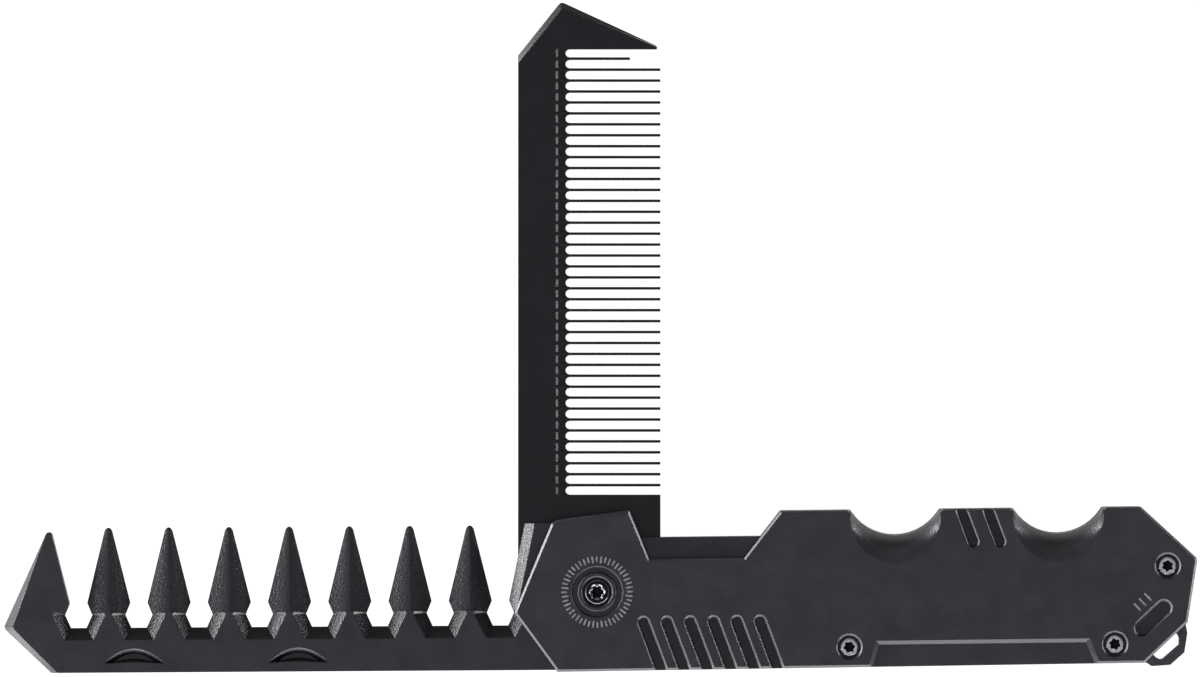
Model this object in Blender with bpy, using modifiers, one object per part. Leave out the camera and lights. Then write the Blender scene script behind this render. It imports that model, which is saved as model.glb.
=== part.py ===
"""Folding pocket comb: a handle of two covers and two liners, a wide-tooth comb opened 180 degrees
and a fine-tooth comb opened 90 degrees, both turning on one pivot.

The origin is on the pivot's axis, at the back face that the comb lies on. +X runs along the handle,
+Z is the thickness, towards the face with the screws. Every size below is in millimetres and every
angle in degrees, and MM turns them to Blender's metres where a mesh is made.
"""

import math

import bmesh
import bpy
from mathutils import Vector

MM = 0.001

# Layers of the handle, from the back face up
SCALE_THICK = 2.8
LINER_THICK = 1.0
LAYER_GAP = 0.05
COMB_CLEARANCE = 0.25
FINE_THICK = 2.6
WIDE_THICK = 3.2
BACK_LINER_Z = SCALE_THICK + LAYER_GAP
SLOT_Z = BACK_LINER_Z + LINER_THICK
FINE_Z = SLOT_Z + COMB_CLEARANCE
WIDE_Z = FINE_Z + FINE_THICK + COMB_CLEARANCE
FRONT_LINER_Z = WIDE_Z + WIDE_THICK + COMB_CLEARANCE
FRONT_SCALE_Z = FRONT_LINER_Z + LINER_THICK + LAYER_GAP
FACE_Z = FRONT_SCALE_Z + SCALE_THICK

# How far each comb stands open from its folded place, about the pivot
WIDE_OPEN = 179.7
FINE_OPEN = 89.35

# Handle outline
TOP_Y = 14.6
BOTTOM_LEFT_Y = -14.7
BOTTOM_RIGHT_X, BOTTOM_RIGHT_Y = 101.1, -14.25
NOTCH_Y = 5.95
LINER_NOTCH_Y = 9.93
NOTCH_LEFT_TOP = (6.1, 15.0)
NOTCH_LEFT_FOOT_X = 9.7
NOTCH_RIGHT_FOOT_X = 27.25
NOTCH_RIGHT_TOP_X = 34.1
FACE_CHAMFER = 0.45
LINER_INSET = 0.12

# Finger scallops: a sheared cone between a circle at the outer face and one at the slot
SCALLOP_XS = (55.3, 85.4)
SCALLOP_FACE_R, SCALLOP_FACE_Y = 8.3, 12.9
SCALLOP_SLOT_R, SCALLOP_SLOT_Y = 9.64, 19.6
SCALLOP_SIDES = 44

# Grooves that slant across the front face
GROOVE_SLANT = 20.0
GROOVE_FLOOR_WIDTH = 1.6
GROOVE_RIM_WIDTH = 2.5
GROOVE_DEPTH = 0.9
LOWER_GROOVES = 6
LOWER_GROOVE_FIRST = (8.5, -5.7)
LOWER_GROOVE_PITCH = 4.31
UPPER_GROOVE_ENDS = ((69.65, 8.5), (74.6, 8.45))
UPPER_GROOVE_RIM_WIDTH = 2.3

# Recessed panel on the bottom edge, and the obround recess near the loop
PANEL_Y = -9.57
PANEL_TOP_X = (51.4, 91.0)
PANEL_FOOT_X = (49.35, 93.25)
PANEL_DEPTH = 0.5
PANEL_RIM = 0.75
OBROUND_ENDS = ((100.65, -7.84), (104.73, -4.1))
OBROUND_R = 1.65
OBROUND_DEPTH = 0.65
OBROUND_RIM = 0.45

# Screws
SCREW_PLACES = ((105.5, 3.65), (95.6, -10.7), (46.5, -10.7))
SCREW_HEAD_R = 1.65
SCREW_HEAD_FLAT_R = 1.2
SCREW_HEAD_DROP = 0.35
SCREW_HEAD_HEIGHT = 1.0
SCREW_SHAFT_R = 0.9
SCREW_SINK = 0.25
SCREW_RECESS_R = 2.1
SCREW_RIM_R = 2.5
SCREW_SOCKET_R = 1.15
SCREW_FIT = 0.1
SOCKET_DEPTH = 0.6

# Pivot: the screw from the front threads into the barrel nut from the back
PIVOT_HEAD_R = 2.3
PIVOT_HEAD_HEIGHT = 1.5
PIVOT_SINK = 0.05
PIVOT_HOLE_R = 2.62
PIVOT_SHAFT_R = 1.3
PIVOT_SOCKET_R = 1.28
BARREL_R = 2.0
BARREL_BORE_R = 1.4
BARREL_FIT = 0.1
NUT_FLANGE_R = 3.4
NUT_FLANGE_HEIGHT = 1.2
RING_GROOVE_R = (3.45, 4.8)
RING_GROOVE_WALL = 0.3
RING_GROOVE_DEPTH = 0.35
RING_HOLE_RIM_R = 2.95
ROUND_SIDES = 36
SMALL_ROUND_SIDES = 18

# Wide comb, in its folded place: X along the bar from the pivot, spine at +Y, teeth at -Y
WIDE_SPINE_Y = 14.46
WIDE_TIP_Y = -12.38
WIDE_PITCH = 11.154
WIDE_GAPS = 8
WIDE_FIRST_GAP_X = 95.99
WIDE_EDGE_LAND = 0.15
WIDE_END_TIP, WIDE_END_TIP_R = (101.36, -10.89), 0.72
WIDE_END = ((109.8, 5.75), (109.55, 6.45))
WIDE_SPINE_CORNER = (101.15, 14.46)
WIDE_END_SLOPE, WIDE_CORNER_SLOPE = 1.7, 1.2
WIDE_END_DROP = 1.0
TOOTH_HALF = WIDE_PITCH / 2
THROAT = (1.58, 1.55)
GAP_WAIST = (2.5, 3.78)
GAP_FLOOR = (1.42, 6.17)
FACE_SHOULDER = (4.95, 3.9)
FACE_FLOOR = (2.75, 8.5)
FACE_APEX_Y = 3.7
LEDGE_Y, LEDGE_FACE_Y = 3.7, 3.3
LEDGE_LEAN, LEDGE_FACE_LEAN = 0.06, 0.3
TIP_STEPS = ((0.72, -11.75), (0.5, -12.1), (0.25, -12.31), (-0.3, -12.44))
BLANK_EDGE_Y = -13.2
HEEL_TOP_Y = -12.7
HEEL_EDGE = (4.6, HEEL_TOP_Y)
HEEL_FACET = 0.42
END_TOOTH_FACET = 0.03
NICK_XS = (85.8, 55.35)
NICK_CHORD_Y = 12.75
NICK_RIM_DEPTH, NICK_DEPTH = 0.4, 1.15

# Fine comb, in its folded place
FINE_SPINE_Y = 14.65
FINE_TIP_Y = -11.74
FINE_PITCH = 2.026
FINE_TEETH = 39
FINE_FIRST_TOOTH_X = 96.66
FINE_TOOTH_THICK = 0.5
FINE_TIP_HALF_HEIGHT = 0.65
FINE_ROOT_Y = 5.85
FINE_POCKET_Y = 7.73
FINE_POCKET_DEPTH = 0.55
FINE_POCKET_SLOPE = 0.5
FINE_POCKET_RIB = 0.65
FINE_GUARD_X = 100.4
FINE_SHORT_TOOTH = (98.7, -6.1)
FINE_BASE_X = 17.9
FINE_END_CHAMFER = 1.0

# Spine spacer and lanyard loop
SPACER_START_X = 17.5
SPACER_TOP_Y = WIDE_TIP_Y - 0.4
SPACER_Z = (SLOT_Z + LAYER_GAP, FRONT_LINER_Z - LAYER_GAP)
LOOP_THIN = 1.2
LOOP_HOLE = (
    (106.73, -8.81), (107.35, -9.2), (107.65, -9.9), (107.6, -11.05), (104.6, -13.6), (104.05, -13.72),
    (103.35, -13.35), (102.53, -12.56),
)

# A cutter reaches this far past the face that it opens, and this share past a cutter that it meets
REACH = 1.0
CUT_OVERLAP = 0.12


def clear_scene():
    for obj in list(bpy.data.objects):
        bpy.data.objects.remove(obj, do_unlink=True)


def new_collection(name):
    made = bpy.data.collections.new(name)
    bpy.context.scene.collection.children.link(made)
    return made


def new_material(name, hex_colour, roughness, metallic):
    """A Principled material from an sRGB colour."""
    def linear(value):
        return value / 12.92 if value <= 0.04045 else ((value + 0.055) / 1.055) ** 2.4

    channels = [linear(int(hex_colour[i:i + 2], 16) / 255) for i in (1, 3, 5)]
    made = bpy.data.materials.new(name)
    made.use_nodes = True
    shader = made.node_tree.nodes["Principled BSDF"]
    shader.inputs["Base Color"].default_value = (*channels, 1.0)
    shader.inputs["Roughness"].default_value = roughness
    shader.inputs["Metallic"].default_value = metallic
    made.diffuse_color = (*channels, 1.0)
    return made


def new_object(name, bm, collection, parent=None):
    """The bmesh, in millimetres, as an object in metres."""
    bmesh.ops.recalc_face_normals(bm, faces=bm.faces)
    bmesh.ops.scale(bm, vec=(MM, MM, MM), verts=bm.verts)
    mesh = bpy.data.meshes.new(name)
    bm.to_mesh(mesh)
    bm.free()
    obj = bpy.data.objects.new(name, mesh)
    collection.objects.link(obj)
    obj.parent = parent
    return obj


def new_part(name, bm, material, parent=None):
    obj = new_object(name, bm, PARTS, parent)
    obj.data.materials.append(material)
    return obj


def new_cutter(name, bm, parent=None):
    obj = new_object(name, bm, CUTTERS, parent)
    obj.hide_render = True
    obj.display_type = "WIRE"
    return obj


def cut(target, *cutters):
    for cutter in cutters:
        boolean = target.modifiers.new(cutter.name, "BOOLEAN")
        boolean.operation = "DIFFERENCE"
        boolean.solver = "EXACT"
        boolean.object = cutter


def plate(bm, outline, low, high):
    """A flat outline extruded from low to high. It gives back its top and bottom faces."""
    bottom = bm.faces.new([bm.verts.new((x, y, low)) for x, y in outline])
    grown = bmesh.ops.extrude_face_region(bm, geom=[bottom], use_keep_orig=True)["geom"]
    raised = [item for item in grown if isinstance(item, bmesh.types.BMVert)]
    bmesh.ops.translate(bm, verts=raised, vec=(0, 0, high - low))
    top = next(item for item in grown if isinstance(item, bmesh.types.BMFace))
    return top, bottom


def chamfer(bm, edges, width):
    bmesh.ops.bevel(bm, geom=list(edges), offset=width, offset_type="OFFSET", affect="EDGES",
                    segments=1, profile=0.5, material=-1)


def loft(levels, triangulate=False):
    """A closed solid through outlines with the same number of points: levels are (outline, z)."""
    bm = bmesh.new()
    rings = [[bm.verts.new((x, y, z)) for x, y in outline] for outline, z in levels]
    for ring, following in zip(rings, rings[1:]):
        for i, start in enumerate(ring):
            j = (i + 1) % len(ring)
            bm.faces.new((start, ring[j], following[j], following[i]))
    bm.faces.new(reversed(rings[0]))
    bm.faces.new(rings[-1])
    if triangulate:
        bmesh.ops.triangulate(bm, faces=bm.faces)
    return bm


def circle(centre, radius, sides):
    turns = [2 * math.pi * i / sides for i in range(sides)]
    return [(centre[0] + radius * math.cos(t), centre[1] + radius * math.sin(t)) for t in turns]


def obround(start, end, radius, sides=7):
    """The outline round a straight line: two half circles joined by straight sides."""
    along = math.atan2(end[1] - start[1], end[0] - start[0])
    points = []
    for centre, first in ((start, along + math.pi / 2), (end, along - math.pi / 2)):
        for i in range(sides + 1):
            turn = first + math.pi * i / sides
            points.append((centre[0] + radius * math.cos(turn), centre[1] + radius * math.sin(turn)))
    return points


def six_lobes(centre, radius, sides=24):
    """A rounded six-lobe socket."""
    points = []
    for i in range(sides):
        turn = 2 * math.pi * i / sides
        reach = radius * (0.86 + 0.14 * math.cos(6 * turn))
        points.append((centre[0] + reach * math.cos(turn), centre[1] + reach * math.sin(turn)))
    return points


def turned(centre, profile, sides):
    """A solid of round sections: profile is (radius, z) from one end to the other."""
    return loft([(circle(centre, radius, sides), z) for radius, z in profile])


def bottom_edge_y(x):
    """The handle's bottom edge, which rises slightly towards the loop."""
    left, right = -7.5, BOTTOM_RIGHT_X
    return BOTTOM_LEFT_Y + (BOTTOM_RIGHT_Y - BOTTOM_LEFT_Y) * (x - left) / (right - left)


def handle_outline(notch_y):
    """The handle's outline, anticlockwise from the head's lower left, with the notch this deep."""
    left_share = (NOTCH_LEFT_TOP[1] - notch_y) / (NOTCH_LEFT_TOP[1] - NOTCH_Y)
    right_share = (TOP_Y - notch_y) / (TOP_Y - NOTCH_Y)
    left_x = NOTCH_LEFT_TOP[0] + (NOTCH_LEFT_FOOT_X - NOTCH_LEFT_TOP[0]) * left_share
    right_x = NOTCH_RIGHT_TOP_X + (NOTCH_RIGHT_FOOT_X - NOTCH_RIGHT_TOP_X) * right_share
    return [
        (-7.5, BOTTOM_LEFT_Y),
        (BOTTOM_RIGHT_X, BOTTOM_RIGHT_Y),
        (109.1, -6.85),
        (111.0, 4.5),
        (110.9, 5.05),
        (100.7, TOP_Y),
        (NOTCH_RIGHT_TOP_X, TOP_Y),
        (right_x, notch_y),
        (left_x, notch_y),
        NOTCH_LEFT_TOP,
        (-7.2, 13.4),
        (-8.3, 12.8),
        (-15.25, -3.4),
        (-15.2, -3.95),
    ]


def scallop_cutter(name, x, face_z, slot_z):
    """The sheared cone of one finger scallop, through one cover and its liner."""
    def ring(z):
        share = (z - slot_z) / (face_z - slot_z)
        radius = SCALLOP_SLOT_R + (SCALLOP_FACE_R - SCALLOP_SLOT_R) * share
        return circle((x, SCALLOP_SLOT_Y + (SCALLOP_FACE_Y - SCALLOP_SLOT_Y) * share), radius, SCALLOP_SIDES)

    step = REACH if face_z > slot_z else -REACH
    ends = sorted((slot_z - step * 0.1, face_z + step))
    return new_cutter(name, loft([(ring(z), z) for z in ends]))


def groove_cutter(name, end, reach_y, rim_width):
    """A slanted groove with a chamfered rim, from its round end to past the edge at reach_y."""
    slant = math.radians(GROOVE_SLANT)
    length = (end[1] - reach_y) / math.cos(slant)
    far = (end[0] + length * math.sin(slant), reach_y)
    floor_r, rim_r = GROOVE_FLOOR_WIDTH / 2, rim_width / 2
    rim_depth = rim_r - floor_r
    levels = [
        (obround(end, far, floor_r), FACE_Z - GROOVE_DEPTH),
        (obround(end, far, floor_r), FACE_Z - rim_depth),
        (obround(end, far, rim_r + 0.3), FACE_Z + 0.3),
    ]
    return new_cutter(name, loft(levels))


def screw_recess_cutter(name, place, face_z, inward):
    """The stepped hole of one screw. inward is the direction from the face into the handle."""
    rim = SCREW_RIM_R - SCREW_RECESS_R
    floor = SCREW_SINK + SCREW_HEAD_HEIGHT + LAYER_GAP
    shaft = SCREW_SHAFT_R + SCREW_FIT
    profile = [
        (SCREW_RIM_R + 0.3, -0.3),
        (SCREW_RECESS_R, rim),
        (SCREW_RECESS_R, floor),
        (shaft, floor),
        (shaft, SCALE_THICK + LINER_THICK + 2 * LAYER_GAP),
    ]
    levels = [(radius, face_z + inward * depth) for radius, depth in profile]
    return new_cutter(name, turned(place, levels, SMALL_ROUND_SIDES))


def pivot_hole_cutter():
    """The screw's hole through the front cover and liner, with the groove's inner rim."""
    rim = RING_HOLE_RIM_R - PIVOT_HOLE_R
    floor = PIVOT_SINK + PIVOT_HEAD_HEIGHT + LAYER_GAP
    profile = [
        (BARREL_R + BARREL_FIT, FRONT_LINER_Z - REACH * 0.2),
        (BARREL_R + BARREL_FIT, FACE_Z - floor),
        (PIVOT_HOLE_R, FACE_Z - floor),
        (PIVOT_HOLE_R, FACE_Z - rim),
        (RING_HOLE_RIM_R + 0.3, FACE_Z + 0.3),
    ]
    return new_cutter("cut_pivot_front", turned((0, 0), profile, ROUND_SIDES))


def nut_hole_cutter():
    """The barrel's hole through the back cover and liner, with the flange's counterbore."""
    flange = NUT_FLANGE_HEIGHT + LAYER_GAP
    profile = [
        (NUT_FLANGE_R + BARREL_FIT, -REACH),
        (NUT_FLANGE_R + BARREL_FIT, flange),
        (BARREL_R + BARREL_FIT, flange),
        (BARREL_R + BARREL_FIT, SLOT_Z + REACH * 0.2),
    ]
    return new_cutter("cut_pivot_back", turned((0, 0), profile, ROUND_SIDES))


def ring_groove_cutter():
    """The ring groove round the pivot, turned from a section whose walls slope outwards."""
    bm = bmesh.new()
    inner, outer = RING_GROOVE_R
    depth, past = RING_GROOVE_DEPTH, 0.3
    spread = RING_GROOVE_WALL * past / depth
    section = [
        (inner + RING_GROOVE_WALL, FACE_Z - depth),
        (outer - RING_GROOVE_WALL, FACE_Z - depth),
        (outer + spread, FACE_Z + past),
        (inner - spread, FACE_Z + past),
    ]
    corners = [bm.verts.new((radius, 0, z)) for radius, z in section]
    edges = [bm.edges.new((corners[i], corners[(i + 1) % 4])) for i in range(4)]
    bmesh.ops.spin(bm, geom=edges, cent=(0, 0, 0), axis=(0, 0, 1), angle=2 * math.pi,
                   steps=ROUND_SIDES, use_merge=True)
    return new_cutter("cut_ring_groove", bm)


def panel_cutter():
    """The trapezoid panel, sunk with a sloping rim and open at the bottom edge."""
    def outline(grow):
        (left, right), (left_foot, right_foot) = PANEL_TOP_X, PANEL_FOOT_X
        return [
            (left_foot - grow, -16.0),
            (right_foot + grow, -16.0),
            (right + grow, PANEL_Y + grow),
            (left - grow, PANEL_Y + grow),
        ]

    levels = [(outline(-PANEL_RIM), FACE_Z - PANEL_DEPTH), (outline(PANEL_RIM), FACE_Z + PANEL_DEPTH)]
    return new_cutter("cut_panel", loft(levels))


def obround_cutter():
    start, end = OBROUND_ENDS
    floor_r = OBROUND_R - OBROUND_RIM
    levels = [
        (obround(start, end, floor_r), FACE_Z - OBROUND_DEPTH),
        (obround(start, end, floor_r), FACE_Z - OBROUND_RIM),
        (obround(start, end, OBROUND_R + 0.3), FACE_Z + 0.3),
    ]
    return new_cutter("cut_obround", loft(levels))


def cover(name, low, high, face_up, material):
    """One cover: the outline, with its outer face's edge chamfered."""
    bm = bmesh.new()
    top, bottom = plate(bm, handle_outline(NOTCH_Y), low, high)
    chamfer(bm, (top if face_up else bottom).edges, FACE_CHAMFER)
    return new_part(name, bm, material)


def liner(name, low, material):
    bm = bmesh.new()
    top, _ = plate(bm, handle_outline(LINER_NOTCH_Y), low, low + LINER_THICK)
    bmesh.ops.inset_region(bm, faces=[top], thickness=LINER_INSET, use_even_offset=True)
    return new_part(name, bm, material)


def make_handle(plastic, liner_plastic):
    front = cover("front_scale", FRONT_SCALE_Z, FACE_Z, True, plastic)
    back = cover("back_scale", 0.0, SCALE_THICK, False, plastic)
    front_liner = liner("front_liner", FRONT_LINER_Z, liner_plastic)
    back_liner = liner("back_liner", BACK_LINER_Z, liner_plastic)
    for i, x in enumerate(SCALLOP_XS, 1):
        scallop_front = scallop_cutter(f"cut_scallop_front_{i}", x, FACE_Z, FRONT_LINER_Z)
        scallop_back = scallop_cutter(f"cut_scallop_back_{i}", x, 0.0, SLOT_Z)
        cut(front, scallop_front)
        cut(front_liner, scallop_front)
        cut(back, scallop_back)
        cut(back_liner, scallop_back)
    for i, place in enumerate(SCREW_PLACES, 1):
        recess_front = screw_recess_cutter(f"cut_screw_front_{i}", place, FACE_Z, -1)
        recess_back = screw_recess_cutter(f"cut_screw_back_{i}", place, 0.0, 1)
        cut(front, recess_front)
        cut(front_liner, recess_front)
        cut(back, recess_back)
        cut(back_liner, recess_back)
    hole_front, hole_back = pivot_hole_cutter(), nut_hole_cutter()
    cut(front, hole_front, ring_groove_cutter())
    cut(front_liner, hole_front)
    cut(back, hole_back)
    cut(back_liner, hole_back)
    for i in range(LOWER_GROOVES):
        end = (LOWER_GROOVE_FIRST[0] + LOWER_GROOVE_PITCH * i, LOWER_GROOVE_FIRST[1])
        cut(front, groove_cutter(f"cut_lower_groove_{i + 1}", end, -17.0, GROOVE_RIM_WIDTH))
    for i, end in enumerate(UPPER_GROOVE_ENDS, 1):
        cut(front, groove_cutter(f"cut_upper_groove_{i}", end, 17.0, UPPER_GROOVE_RIM_WIDTH))
    cut(front, panel_cutter(), obround_cutter())


def make_spacer(plastic):
    """The strip that keeps the liners apart along the bottom, with the corner block and the loop."""
    low, high = SPACER_Z
    outline = [
        (SPACER_START_X, bottom_edge_y(SPACER_START_X) + LINER_INSET),
        (101.2, bottom_edge_y(101.2) + LINER_INSET),
        (102.5, -15.0),
        (105.95, -14.8),
        (108.6, -12.5),
        (109.2, -8.9),
        (108.85, -7.0),
        (109.7, -2.0),
        (106.75, -2.0),
        (102.3, -12.0),
        (101.6, SPACER_TOP_Y),
        (SPACER_START_X, SPACER_TOP_Y),
    ]
    bm = bmesh.new()
    plate(bm, outline, low, high)
    spacer = new_part("spine_spacer", bm, plastic)
    hole = loft([(list(reversed(LOOP_HOLE)), low - REACH), (list(reversed(LOOP_HOLE)), high + REACH)])
    cut(spacer, new_cutter("cut_loop_hole", hole))
    beyond = [(100.9, -14.3), (109.4, -6.7), (114.0, -10.0), (104.0, -18.0)]
    for name, start, end in (
        ("cut_loop_back", low - REACH, low + LOOP_THIN),
        ("cut_loop_front", high - LOOP_THIN, high + REACH),
    ):
        cut(spacer, new_cutter(name, loft([(beyond, start), (beyond, end)])))


def scale_screw(name, place, face_z, inward, steel):
    """A button-head screw with a six-lobe socket, its head below the face."""
    top = face_z + inward * SCREW_SINK
    profile = [
        (SCREW_HEAD_FLAT_R, top),
        (SCREW_HEAD_R, top + inward * SCREW_HEAD_DROP),
        (SCREW_HEAD_R, top + inward * SCREW_HEAD_HEIGHT),
        (SCREW_SHAFT_R, top + inward * SCREW_HEAD_HEIGHT),
        (SCREW_SHAFT_R, face_z + inward * (SCALE_THICK + LINER_THICK)),
    ]
    screw = new_part(name, turned(place, profile, SMALL_ROUND_SIDES), steel)
    socket = six_lobes(place, SCREW_SOCKET_R)
    levels = [(socket, top - inward * 0.3), (socket, top + inward * SOCKET_DEPTH)]
    cut(screw, new_cutter(f"cut_{name}_socket", loft(levels)))


def make_screws(steel):
    for i, place in enumerate(SCREW_PLACES, 1):
        scale_screw(f"screw_front_{i}", place, FACE_Z, -1, steel)
        scale_screw(f"screw_back_{i}", place, 0.0, 1, steel)


def make_pivot(steel):
    head_top = FACE_Z - PIVOT_SINK
    head_low = head_top - PIVOT_HEAD_HEIGHT
    barrel_top = head_low - LAYER_GAP
    screw_profile = [
        (PIVOT_SHAFT_R, SLOT_Z),
        (PIVOT_SHAFT_R, head_low),
        (PIVOT_HEAD_R, head_low),
        (PIVOT_HEAD_R, head_top - 0.3),
        (PIVOT_HEAD_R - 0.3, head_top),
    ]
    screw = new_part("pivot_screw", turned((0, 0), screw_profile, ROUND_SIDES), steel)
    socket = six_lobes((0, 0), PIVOT_SOCKET_R)
    levels = [(socket, head_top - 1.0), (socket, head_top + REACH)]
    cut(screw, new_cutter("cut_pivot_socket", loft(levels)))
    nut_profile = [
        (NUT_FLANGE_R, 0.0),
        (NUT_FLANGE_R, NUT_FLANGE_HEIGHT),
        (BARREL_R, NUT_FLANGE_HEIGHT),
        (BARREL_R, barrel_top),
    ]
    nut = new_part("pivot_nut", turned((0, 0), nut_profile, ROUND_SIDES), steel)
    bore = [(BARREL_BORE_R, SLOT_Z - LAYER_GAP), (BARREL_BORE_R, barrel_top + REACH)]
    cut(nut, new_cutter("cut_nut_bore", turned((0, 0), bore, ROUND_SIDES)))


def comb_pivot(name, degrees):
    """An empty on the pivot's axis that holds one comb at its open angle."""
    empty = bpy.data.objects.new(name, None)
    PARTS.objects.link(empty)
    empty.rotation_euler = (0, 0, math.radians(degrees))
    return empty


def at_height(points, face_points, height, half):
    """The section at a height over the comb's middle, between the silhouette and the face."""
    share = (height - WIDE_EDGE_LAND) / (half - WIDE_EDGE_LAND)
    return [(a[0] + (b[0] - a[0]) * share, a[1] + (b[1] - a[1]) * share) for a, b in zip(points, face_points)]


def waisted_cutter(points, face_points, middle, half):
    """A cutter that is narrow at the comb's middle and opens out towards both faces."""
    past = half + 0.2
    wide = at_height(points, face_points, past, half)
    levels = [
        (wide, middle - past),
        (points, middle - WIDE_EDGE_LAND),
        (points, middle + WIDE_EDGE_LAND),
        (wide, middle + past),
    ]
    return loft(levels, triangulate=True)


def both_sides(half):
    return half + [(-x, y) for x, y in reversed(half)]


def root_profiles():
    """The six-sided root of a hair gap, at the comb's middle and at its faces."""
    lean = Vector(GAP_WAIST) - Vector(THROAT)
    mouth = Vector(GAP_WAIST) - LEDGE_LEAN * lean - Vector((0.05, 0))
    face_mouth = Vector(FACE_SHOULDER) - LEDGE_FACE_LEAN * lean
    at_middle = [tuple(mouth), GAP_WAIST, GAP_FLOOR]
    at_face = [tuple(face_mouth), FACE_SHOULDER, FACE_FLOOR]
    return both_sides(at_middle), both_sides(at_face)


def neck_shape(low, high):
    """The upright-walled neck of a hair gap, from just before its throat to its waist."""
    lean = Vector(GAP_WAIST) - Vector(THROAT)
    outline = both_sides([
        tuple(Vector(THROAT) - CUT_OVERLAP * lean),
        tuple(Vector(GAP_WAIST) - LEDGE_LEAN / 2 * lean),
        (GAP_WAIST[0] * 0.75, (GAP_WAIST[1] + GAP_FLOOR[1]) / 2),
    ])
    return loft([(outline, low - REACH), (outline, high + REACH)])


def side_profiles(edge, facet):
    """One side of the gap between two teeth, at the comb's middle and at its faces.

    edge runs from the throat to the tooth's end, and facet is how far the side's facet reaches in
    from it, as a share of the whole way to an arrow tooth's ridge. The facet goes on past the
    throat to the ledge over the root.
    """
    throat, apex = Vector(THROAT), Vector((TOOTH_HALF + 0.03, FACE_APEX_Y))
    past = BLANK_EDGE_Y - 4 * REACH
    outer = [Vector(point) for point in edge] + [Vector((edge[-1][0] + 0.2, past))]
    shift = (apex - throat) * facet
    run = throat - Vector(edge[0])
    foot = throat + run * (LEDGE_Y - throat.y) / run.y
    face_foot = throat + shift + run * (LEDGE_FACE_Y - throat.y - shift.y) / run.y
    middle_line, inner_rise = -0.4, 0.7
    silhouette = [foot] + outer + [(middle_line, past), (middle_line, foot.y + inner_rise)]
    face = [face_foot] + [point + shift for point in outer]
    return silhouette, face + [(middle_line, past + shift.y), (middle_line, face_foot.y + inner_rise)]


def wide_outline(end_in, corner_in, steps=6):
    """The wide comb's blank, anticlockwise from the tang, before its gaps are cut.

    end_in and corner_in are how far its pointed end and the corner of its spine are drawn in.
    """
    tip = []
    for i in range(steps + 1):
        turn = math.radians(-165 + 140 * i / steps)
        tip.append((WIDE_END_TIP[0] + WIDE_END_TIP_R * math.cos(turn),
                    WIDE_END_TIP[1] + WIDE_END_TIP_R * math.sin(turn)))
    return [
        (-3.0, HEEL_TOP_Y), (13.6, HEEL_TOP_Y), (14.0, BLANK_EDGE_Y), (99.5, BLANK_EDGE_Y), *tip,
        *((x - end_in, y) for x, y in WIDE_END), (WIDE_SPINE_CORNER[0] - corner_in, WIDE_SPINE_CORNER[1]),
        (2.0, WIDE_SPINE_Y), (-8.3, 10.5), (-11.8, 4.0), (-11.8, -3.0), (-9.0, -9.5),
    ]


def place_along(obj, x):
    obj.location = (x * MM, 0, 0)
    return obj


def make_wide_comb(plastic):
    pivot = comb_pivot("wide_comb_pivot", WIDE_OPEN)
    half, middle, top_z = WIDE_THICK / 2, WIDE_Z + WIDE_THICK / 2, WIDE_Z + WIDE_THICK
    face, edge = wide_outline(WIDE_END_SLOPE, WIDE_CORNER_SLOPE), wide_outline(0, 0)
    levels = [(face, WIDE_Z), (edge, WIDE_Z + WIDE_END_DROP), (edge, top_z - WIDE_END_DROP), (face, top_z)]
    comb = new_part("wide_comb", loft(levels, triangulate=True), plastic, pivot)

    root_middle, root_face = root_profiles()
    tip = [(TOOTH_HALF - half_width, y) for half_width, y in TIP_STEPS]
    arrow_side = side_profiles(tip, 1.0)
    end_side = side_profiles(tip, END_TOOTH_FACET)
    heel_side = side_profiles([HEEL_EDGE], HEEL_FACET)
    for i in range(WIDE_GAPS):
        x = WIDE_FIRST_GAP_X - WIDE_PITCH * i
        root = waisted_cutter(root_middle, root_face, middle, half)
        cut(comb, place_along(new_cutter(f"cut_gap_root_{i}", root, pivot), x))
        neck = neck_shape(WIDE_Z, top_z)
        cut(comb, place_along(new_cutter(f"cut_gap_neck_{i}", neck, pivot), x))
        for side, sign in (("out", 1), ("in", -1)):
            outermost, innermost = i == 0 and sign > 0, i == WIDE_GAPS - 1 and sign < 0
            points, faces = end_side if outermost else heel_side if innermost else arrow_side
            shape = waisted_cutter(points, faces, middle, half)
            bmesh.ops.scale(shape, vec=(sign, 1, 1), verts=shape.verts)
            cut(comb, place_along(new_cutter(f"cut_gap_{side}_{i}", shape, pivot), x))
    bore = [(BARREL_R + BARREL_FIT, WIDE_Z - REACH), (BARREL_R + BARREL_FIT, top_z + REACH)]
    cut(comb, new_cutter("cut_wide_bore", turned((0, 0), bore, ROUND_SIDES), pivot))
    for i, x in enumerate(NICK_XS, 1):
        cut(comb, new_cutter(f"cut_nick_{i}", nick_shape(x), pivot))


def nick_shape(x, steps=10):
    """A crescent nail nick in the face: a chamfered rim, then a steep wall under the arc.

    Each level has the arc towards the teeth and the flatter arc towards the spine, which both
    stand on one chord: (half length, rise of the first, rise of the second, depth).
    """
    rim_in, rim_depth = 0.45, NICK_RIM_DEPTH
    levels = [
        (4.0, 1.8, 0.85, NICK_DEPTH),
        (5.1, 2.3, 0.6, rim_depth),
        (5.1 + 2 * rim_in, 2.3 + 2 * rim_in, 0.6 - 2 * rim_in, -rim_depth),
    ]

    def arc(half_length, rise):
        shares = [2 * i / steps - 1 for i in range(steps + 1)]
        return [(x + share * half_length, NICK_CHORD_Y - rise * (1 - share * share)) for share in shares]

    top_z = WIDE_Z + WIDE_THICK
    return loft([
        (arc(half_length, rise) + list(reversed(arc(half_length, flat)))[1:-1], top_z - depth)
        for half_length, rise, flat, depth in levels
    ], triangulate=True)


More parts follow.
